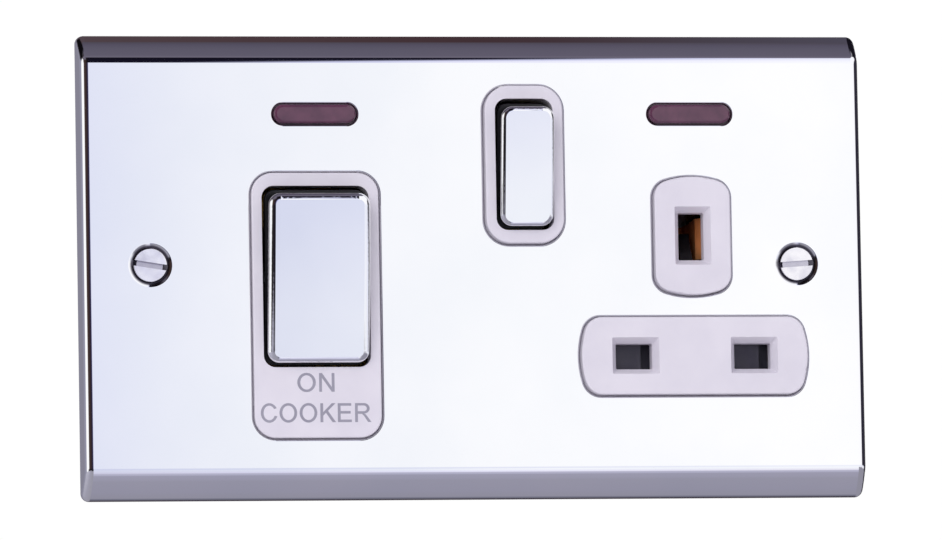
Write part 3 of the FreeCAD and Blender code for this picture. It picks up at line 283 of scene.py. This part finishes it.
# Extruded brass bar, cut to blocks: yellow, with lines along the bar.
brass = drawn(
    "extruded_brass", ("#D9B266", "#C49A4C"), rough=(0.2, 0.36), line_mm=0.25, depth_mm=0.006,
    stretch=(1, 1, 0.06))[0]
# Phosphor bronze strip: copper coloured, with rolling lines along the strip and a little tarnish.
bronze = drawn(
    "phosphor_bronze_strip", ("#F0A66C", "#DB8E52"), rough=(0.4, 0.55), line_mm=0.25,
    depth_mm=0.006, stretch=(1, 0.06, 1), metallic=0.6)[0]

slot_finishes = {
    "chrome": chrome, "white_plastic": white_urea, "black_plastic": black_polyester,
    "plunger_plastic": natural_nylon, "spring_steel": spring_wire, "brass": brass, "copper": bronze,
    "screw_steel": zinc, "lens_red": lens, "lamp_glass": lamp_glass, "tinned_wire": tinned_wire,
    "resistor": lacquer, "shutter_grey": dark_nylon, "housing_plastic": housing_urea,
}
node_finishes = {
    "fixing_screws": screw_chrome, "cooker_rocker_cap": cap_chrome, "socket_rocker_cap": cap_chrome}
for sub in frame["record"]["subparts"]:
    for slot in nodes[sub["node"]].material_slots:
        slot.material = node_finishes.get(sub["node"], slot_finishes[sub["material_slot"]])


def pressed_spring():
    """The shutter's spring as a smooth coil of its own, fixed to the unit; the real one shortens
    under the shutter.
    """
    coil = bmesh.new()
    coil.from_mesh(nodes["shutter_spring"].data)
    bmesh.ops.remove_doubles(coil, verts=coil.verts, dist=MERGE_GAP)
    for face in coil.faces:
        face.smooth = True
    mesh = bpy.data.meshes.new("shutter_spring_coil")
    coil.to_mesh(mesh)
    coil.free()
    mesh.materials.append(spring_wire)
    piece = bpy.data.objects.new("shutter_spring_coil", mesh)
    bpy.context.scene.collection.objects.link(piece)
    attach(piece, "unit")
    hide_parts("shutter_spring")
    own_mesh(piece)


pressed_spring()


# Lettering on the cooker bezel: block letters 716 units high, each with its width and outlines
def arc(mid_x, mid_y, wide, tall, start, end):
    """Points along part of an ellipse, in degrees."""
    turns = [math.radians(start + (end - start) * k / ARC_STEPS) for k in range(ARC_STEPS + 1)]
    return [(mid_x + wide * math.cos(t), mid_y + tall * math.sin(t)) for t in turns]


LETTERS = {
    "O": (778, [arc(390, 358, 342, 370, 0, 345), arc(390, 358, 233, 276, 0, 345)]),
    "N": (722, [[
        (76, 0), (76, 716), (184, 716), (541, 180), (541, 716), (644, 716), (644, 0), (536, 0),
        (179, 536), (179, 0)]]),
    "C": (722, [arc(378, 358, 328, 370, 29, 340) + arc(378, 358, 221, 277, 337, 32)]),
    "K": (667, [[
        (73, 0), (73, 716), (181, 716), (181, 378), (516, 716), (660, 716), (366, 430), (674, 0),
        (538, 0), (288, 354), (181, 247), (181, 0)]]),
    "E": (667, [[
        (79, 0), (79, 716), (602, 716), (602, 620), (187, 620), (187, 419), (575, 419), (575, 323),
        (187, 323), (187, 96), (617, 96), (617, 0)]]),
    "R": (722, [
        [(79, 0), (79, 716)] + arc(420, 518, 227, 198, 90, -90) + [
            (484, 298), (546, 224), (710, 0), (578, 0), (420, 238), (347, 309), (187, 313),
            (187, 0)],
        [(187, 626)] + arc(412, 517, 124, 109, 90, -90) + [(187, 408)]]),
}


def lettering(name, word, mid_x, mid_z, width, height, front_y):
    """A word printed on a face that looks along -Y, fitted to its measured width and height."""
    curve = bpy.data.curves.new(name, "CURVE")
    curve.dimensions = "2D"
    curve.fill_mode = "BOTH"
    curve.extrude = 1
    start = 0
    for letter in word:
        advance, outlines = LETTERS[letter]
        for outline in outlines:
            spline = curve.splines.new("POLY")
            spline.points.add(len(outline) - 1)
            for point, (x, y) in zip(spline.points, outline):
                point.co = (start + x, y, 0, 1)
            spline.use_cyclic_u = True
        start += advance
    flat = bpy.data.objects.new(name + "_outline", curve)
    bpy.context.scene.collection.objects.link(flat)
    bpy.context.view_layer.update()
    drawing = flat.evaluated_get(bpy.context.evaluated_depsgraph_get())
    mesh = bpy.data.meshes.new_from_object(drawing)
    bpy.data.objects.remove(flat)
    low = Vector([min(v.co[i] for v in mesh.vertices) for i in range(3)])
    high = Vector([max(v.co[i] for v in mesh.vertices) for i in range(3)])
    middle = Matrix.Translation(-(low + high) / 2)
    size = Matrix.Diagonal((width / (high.x - low.x), height / (high.y - low.y), INK_T, 1))
    stand = Matrix.Rotation(math.pi / 2, 4, "X")
    mesh.transform(Matrix.Translation((mid_x, front_y, mid_z)) @ stand @ size @ middle)
    mesh.materials.append(ink)
    piece = bpy.data.objects.new(name, mesh)
    bpy.context.scene.collection.objects.link(piece)
    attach(piece, "unit")


bezel_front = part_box("cooker_front")[0].y
lettering(
    "word_on", "ON", mid_x=-30.09 * MM, mid_z=-21.77 * MM, width=6.89 * MM,
    height=3.55 * MM, front_y=bezel_front)
lettering(
    "word_cooker", "COOKER", mid_x=-30.14 * MM, mid_z=-27.36 * MM, width=20.48 * MM,
    height=3.6 * MM, front_y=bezel_front)


# Studio, which the chrome shows: a tall white card ahead that starts a little right of the camera,
# a dark room left of it with a white strip beside the part, a pale floor, a grey ceiling and a dark
# room behind. Places along a ramp are the sideways part of a direction, or for the ceiling and the
# floor under the part its front-to-back part, as (value + 1) / 2.
DARK_LEFT = [
    (0.0, "#FFFFFF"), (0.07, "#FFFFFF"), (0.095, "#4A3A35"), (0.3, "#33272B"), (0.42, "#2A2333"),
    (0.455, "#322F4D"), (0.485, "#8280A8"), (0.52, "#BFC1E6")]
DARK_BELOW = [
    (0.0, "#FFFFFF"), (0.035, "#FFFFFF"), (0.055, "#2A2527"), (0.42, "#1A1720"), (0.515, "#1F1D2E"),
    (0.54, "#6E6E8C")]
DARK_ABOVE = [
    (0.0, "#FFFFFF"), (0.07, "#FFFFFF"), (0.095, "#4A3A35"), (0.35, "#1E181C"), (0.5, "#100D13"),
    (0.5585, "#131120"), (0.5605, "#2B2940"), (0.566, "#C9CAE8"), (0.575, "#EDEDFB"),
    (0.5925, "#FBFBFF"), (0.92, "#FCFBFE"), (0.95, "#2A2735")]
CARD = [
    (0.55, "#CFD0F2"), (0.556, "#DDE0F3"), (0.5595, "#E3E6F4"), (0.5645, "#EFF1F8"),
    (0.5775, "#F9FAFC"), (0.5925, "#FEFEFF"), (0.92, "#FCFBFE"), (0.95, "#2A2735")]
FLOOR_NEAR = [
    (0.55, "#C4C7E4"), (0.56, "#D0D3EA"), (0.57, "#D7DBEE"), (0.58, "#E2E4F3"), (0.595, "#ECEEF8"),
    (0.92, "#E6E8F4")]
FLOOR_MID = [
    (0.55, "#CBCEE6"), (0.56, "#D7D9EC"), (0.57, "#E2E5F2"), (0.58, "#F5F7FB"), (0.595, "#F6F8FC"),
    (0.92, "#F0F0F6")]
FLOOR_LOW = [
    (0.55, "#C8C7DC"), (0.56, "#D0CFE4"), (0.5775, "#E6E5F8"), (0.595, "#E7E5F1"),
    (0.92, "#E0DEEA")]
FLOOR_LEFT = [(0.05, "#B4B2C0"), (0.2, "#9E9CAA"), (0.5, "#96949F")]
FLOOR_UNDER = [
    (0.19, "#BAB8CC"), (0.225, "#B0AFC4"), (0.275, "#A8A7BA"), (0.35, "#9D9BAE"),
    (0.415, "#9593A3"), (0.575, "#9290A1"), (0.635, "#8F8D9B"), (0.665, "#87869A"),
    (0.725, "#797888"), (0.8, "#6D6D7B")]
CEILING = [
    (0.25, "#6C6776"), (0.43, "#625D6D"), (0.56, "#5A5665"), (0.61, "#555060"), (0.66, "#4D4853")]
RIM_GLOW = [
    (0.555, "#50444A"), (0.565, "#4A3A3E"), (0.58, "#3F2E32"), (0.59, "#46404A"),
    (0.597, "#4D4956")]
ROOM_BEHIND = [
    (0.0, "#9594A6"), (0.4, "#82808E"), (0.5, "#55505A"), (0.65, "#3A363E"), (1.0, "#333138")]
CARD_LEAN = -0.0265   # the card's left edge leans by so much from its foot to its head
STUDIO_STRENGTH = 1.12

# Each layer: what it shows, what that runs along, and the part of a direction that brings it in
LAYERS = [
    (DARK_ABOVE, "leaning", "Z", 0.13, 0.18),
    (DARK_BELOW + FLOOR_NEAR, "across", "Z", -0.02, -0.10),
    (DARK_BELOW + FLOOR_MID, "across", "Z", -0.11, -0.26),
    (DARK_BELOW + FLOOR_LOW, "across", "Z", -0.35, -0.62),
    (ROOM_BEHIND, "across", "Y", 0.08, 0.20),
    (CEILING, "ahead", "Z", 0.83, 0.88),
    (FLOOR_UNDER, "ahead", "Z", -0.66, -0.74),
]
# Sides of the studio: a part of a direction, where the side begins and where it is full
SIDES = {
    "upper": ("Z", 0.3, 0.45), "high": ("Z", 0.45, 0.7), "low": ("Z", -0.19, -0.25),
    "lower": ("Z", -0.25, -0.36), "back": ("Y", 0.31, 0.35), "rear": ("Y", 0.0, 0.2),
    "front": ("Y", 0.05, -0.08), "aside": ("X", 0.08, 0.0), "left": ("X", -0.3, -0.4),
    "far_left": ("X", -0.25, -0.42), "right": ("X", 0.22, 0.3), "beyond": ("X", 0.22, 0.32),
}
# Corners, where sides meet, and what shows there
CORNERS = [
    (("lower", "aside"), FLOOR_LEFT), (("low", "far_left"), FLOOR_LEFT),
    (("lower", "beyond"), "#8E8C99"), (("upper", "back"), RIM_GLOW),
    (("high", "front", "far_left"), "#6A6574"), (("upper", "rear", "left"), "#0D0B0F"),
    (("upper", "rear", "right"), "#15121A"),
]


def studio_world():
    """The studio by direction; plain surfaces get a soft light, and the camera sees white."""
    world = bpy.data.worlds.new("studio")
    bpy.context.scene.world = world
    world.use_nodes = True
    tree = world.node_tree
    tree.nodes.clear()
    way = add(tree, "ShaderNodeTexCoord").outputs["Generated"]
    part = add(tree, "ShaderNodeSeparateXYZ", {"Vector": way}).outputs
    across = add(tree, "ShaderNodeMapRange", {
        "Value": part["X"], "From Min": -1.0}).outputs["Result"]
    ahead = add(tree, "ShaderNodeMapRange", {
        "Value": part["Y"], "From Min": -1.0}).outputs["Result"]
    lean = add(tree, "ShaderNodeMapRange", {
        "Value": part["Z"], "From Min": 0.2, "From Max": 0.9,
        "To Max": CARD_LEAN}).outputs["Result"]
    leaning = add(tree, "ShaderNodeMath", {0: across, 1: lean}).outputs[0]
    runs = {"across": across, "ahead": ahead, "leaning": leaning}
    view = add(tree, "ShaderNodeValToRGB", {"Fac": across}, DARK_LEFT + CARD).outputs["Color"]
    for stops, run, axis, begin, full in LAYERS:
        colour = add(tree, "ShaderNodeValToRGB", {"Fac": runs[run]}, stops).outputs["Color"]
        share = add(tree, "ShaderNodeMapRange", {
            "Value": part[axis], "From Min": begin, "From Max": full}).outputs["Result"]
        view = add(tree, "ShaderNodeMix", {
            "Factor": share, MIX_A: view, MIX_B: colour}, data_type="RGBA").outputs[MIX_OUT]
    sides = {
        name: add(tree, "ShaderNodeMapRange", {
            "Value": part[axis], "From Min": begin, "From Max": full}).outputs["Result"]
        for name, (axis, begin, full) in SIDES.items()}
    for names, shown in CORNERS:
        share = sides[names[0]]
        for name in names[1:]:
            share = add(tree, "ShaderNodeMath", {
                0: share, 1: sides[name]}, operation="MULTIPLY").outputs[0]
        if isinstance(shown, str):
            colour = linear(shown)
        else:
            colour = add(tree, "ShaderNodeValToRGB", {"Fac": across}, shown).outputs["Color"]
        view = add(tree, "ShaderNodeMix", {
            "Factor": share, MIX_A: view, MIX_B: colour}, data_type="RGBA").outputs[MIX_OUT]
    height = add(tree, "ShaderNodeMapRange", {
        "Value": part["Z"], "From Min": -0.7, "From Max": 0.7}).outputs["Result"]
    soft = add(tree, "ShaderNodeMix", {
        "Factor": height, MIX_A: linear("#817E89"), MIX_B: linear("#BFBDC5")},
        data_type="RGBA").outputs[MIX_OUT]
    path = add(tree, "ShaderNodeLightPath").outputs
    for ray, colour in (("Is Diffuse Ray", soft), ("Is Camera Ray", linear("#F4F4F4"))):
        view = add(tree, "ShaderNodeMix", {
            "Factor": path[ray], MIX_A: view, MIX_B: colour}, data_type="RGBA").outputs[MIX_OUT]
    sky = add(tree, "ShaderNodeBackground", {"Color": view, "Strength": STUDIO_STRENGTH})
    add(tree, "ShaderNodeOutputWorld", {"Surface": sky.outputs[0]})


def area_light(name, place, size, watts):
    """A soft light that points at the part and doesn't show in the chrome."""
    lamp = bpy.data.lights.new(name, "AREA")
    lamp.size = size
    lamp.energy = watts
    holder = bpy.data.objects.new(name, lamp)
    holder.location = place
    holder.rotation_euler = (-Vector(place)).to_track_quat("-Z", "Y").to_euler()
    holder.visible_camera = False
    holder.visible_glossy = False
    bpy.context.scene.collection.objects.link(holder)


def studio_floor():
    """Pale matt board, well below the part so that the low view stays clear of it."""
    bpy.ops.mesh.primitive_plane_add(size=FLOOR_SIZE, location=(0, 0, FLOOR_Z))
    board = bpy.context.object
    board.name = "studio_floor"
    board.data.materials.append(moulded(
        "pale_matt_board", ("#EEEDEE", "#E8E7E9"), rough=(0.7, 0.85),
        pebble_mm=30.0, depth_mm=0.02)[0])
    board.visible_glossy = False


def photo_camera(azimuth, elevation, roll, distance, focal_px, centre_px):
    """The photograph's camera, fitted to the outline of the plate; the angles are in degrees."""
    a, e, r = (math.radians(v) for v in (azimuth, elevation, roll))
    back = Vector((math.sin(a) * math.cos(e), -math.cos(a) * math.cos(e), math.sin(e)))
    right = (-back).cross(Vector((0, 0, 1))).normalized()
    up = right.cross(-back)
    across = math.cos(r) * right + math.sin(r) * up
    upward = -math.sin(r) * right + math.cos(r) * up
    aside = (centre_px[0] - PHOTO_W / 2) / focal_px * distance
    above = (PHOTO_H / 2 - centre_px[1]) / focal_px * distance
    place = Vector((0, FACE_Y, 0)) + back * distance - across * aside - upward * above
    cam = bpy.data.cameras.new("photo_camera")
    cam.sensor_width = SENSOR_W
    cam.lens = focal_px * SENSOR_W / PHOTO_W
    cam.clip_start = 0.05
    cam.clip_end = 60
    holder = bpy.data.objects.new("photo_camera", cam)
    turn = Matrix((across, upward, back)).transposed().to_4x4()
    holder.matrix_world = Matrix.Translation(place) @ turn
    bpy.context.scene.collection.objects.link(holder)
    bpy.context.scene.camera = holder


studio_world()
studio_floor()
area_light("left_key", place=(-0.9, -1.8, 0.7), size=1.6, watts=22)
area_light("rear_fill", place=(0.8, 1.8, 1.2), size=1.4, watts=26)
photo_camera(
    azimuth=-9.0, elevation=-5.5, roll=-1.0, distance=1.8, focal_px=9765.0,
    centre_px=(475.1, 264.45))
bpy.context.scene.view_settings.view_transform = "Standard"
